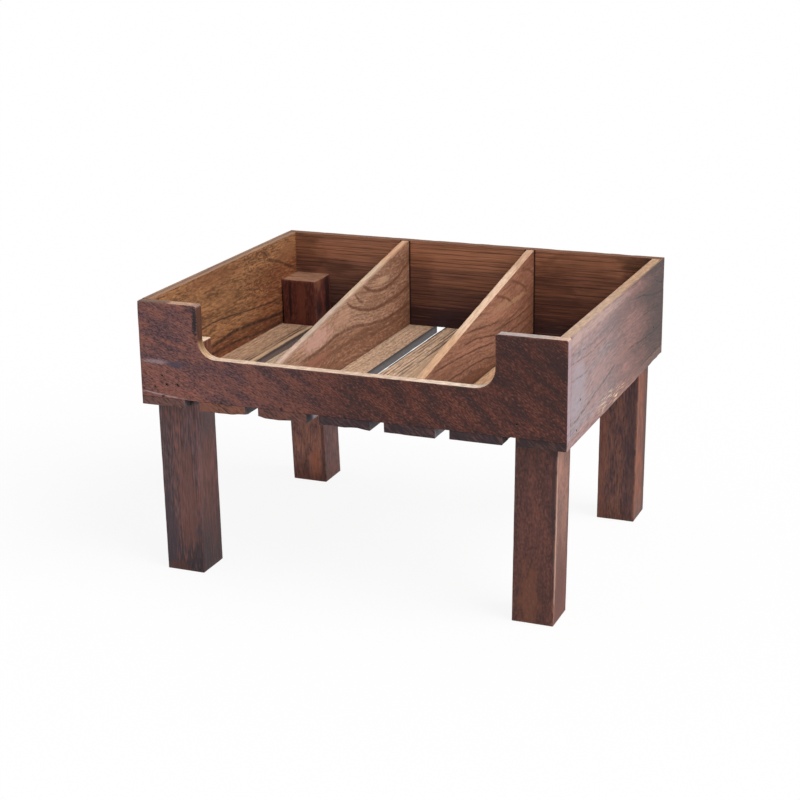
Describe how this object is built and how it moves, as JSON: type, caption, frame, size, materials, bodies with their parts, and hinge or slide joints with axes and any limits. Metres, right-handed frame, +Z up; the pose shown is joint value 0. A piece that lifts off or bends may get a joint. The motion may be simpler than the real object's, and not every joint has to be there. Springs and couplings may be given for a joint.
{
  "type": "crate display stand",
  "caption": "Low wooden display crate with a scooped drop front, sloping dividers and a slatted floor, raised on square corner legs to show produce or goods.",
  "frame": {"origin": "on the ground, under the middle of the crate", "axes": "+X across the front to the viewer's right, +Y from the drop front to the back, +Z up"},
  "size_m": [0.5, 0.4, 0.3238],
  "materials": {
    "walnut_stain": "dark red-brown stain, waxed",
    "leg_stain": "dark red-brown stain, waxed",
    "golden_wood": "golden brown, waxed",
    "side_wood": "mid brown, waxed",
    "divider_wood": "light red-brown, oiled",
    "floor_wood": "tan, sawn",
    "nail_steel": "dull bright steel"
  },
  "bodies": {
    "root": {"front_board": "walnut_stain", "back_board": "walnut_stain", "left_side_board": "golden_wood", "right_side_board": "side_wood", "divider_1": "divider_wood", "divider_2": "divider_wood", "floor_slat_1": "floor_wood", "floor_slat_2": "floor_wood", "floor_slat_3": "floor_wood", "floor_slat_4": "floor_wood", "floor_slat_5": "floor_wood", "floor_slat_6": "floor_wood", "floor_slat_7": "floor_wood", "front_left_leg": "leg_stain", "front_right_leg": "leg_stain", "back_left_leg": "leg_stain", "back_right_leg": "leg_stain", "front_left_leg_front_nail_1": "nail_steel", "front_left_leg_front_nail_2": "nail_steel", "front_left_leg_front_nail_3": "nail_steel", "front_left_leg_front_nail_4": "nail_steel", "front_left_leg_side_nail_1": "nail_steel", "front_left_leg_side_nail_2": "nail_steel", "front_right_leg_front_nail_1": "nail_steel", "front_right_leg_front_nail_2": "nail_steel", "front_right_leg_side_nail_1": "nail_steel", "front_right_leg_side_nail_2": "nail_steel", "back_left_leg_back_nail_1": "nail_steel", "back_left_leg_back_nail_2": "nail_steel", "back_left_leg_side_nail_1": "nail_steel", "back_left_leg_side_nail_2": "nail_steel", "back_right_leg_back_nail_1": "nail_steel", "back_right_leg_back_nail_2": "nail_steel", "back_right_leg_side_nail_1": "nail_steel", "back_right_leg_side_nail_2": "nail_steel", "divider_1_back_nail_1": "nail_steel", "divider_1_back_nail_2": "nail_steel", "divider_1_floor_nail_front": "nail_steel", "divider_1_floor_nail_back": "nail_steel", "divider_2_back_nail_1": "nail_steel", "divider_2_back_nail_2": "nail_steel", "divider_2_floor_nail_front": "nail_steel", "divider_2_floor_nail_back": "nail_steel", "floor_slat_1_front_nail": "nail_steel", "floor_slat_1_back_nail": "nail_steel", "floor_slat_2_front_nail": "nail_steel", "floor_slat_2_back_nail": "nail_steel", "floor_slat_3_front_nail": "nail_steel", "floor_slat_3_back_nail": "nail_steel", "floor_slat_4_front_nail": "nail_steel", "floor_slat_4_back_nail": "nail_steel", "floor_slat_5_front_nail": "nail_steel", "floor_slat_5_back_nail": "nail_steel", "floor_slat_6_front_nail": "nail_steel", "floor_slat_6_back_nail": "nail_steel", "floor_slat_7_front_nail": "nail_steel", "floor_slat_7_back_nail": "nail_steel"}
  },
  "joints": []
}
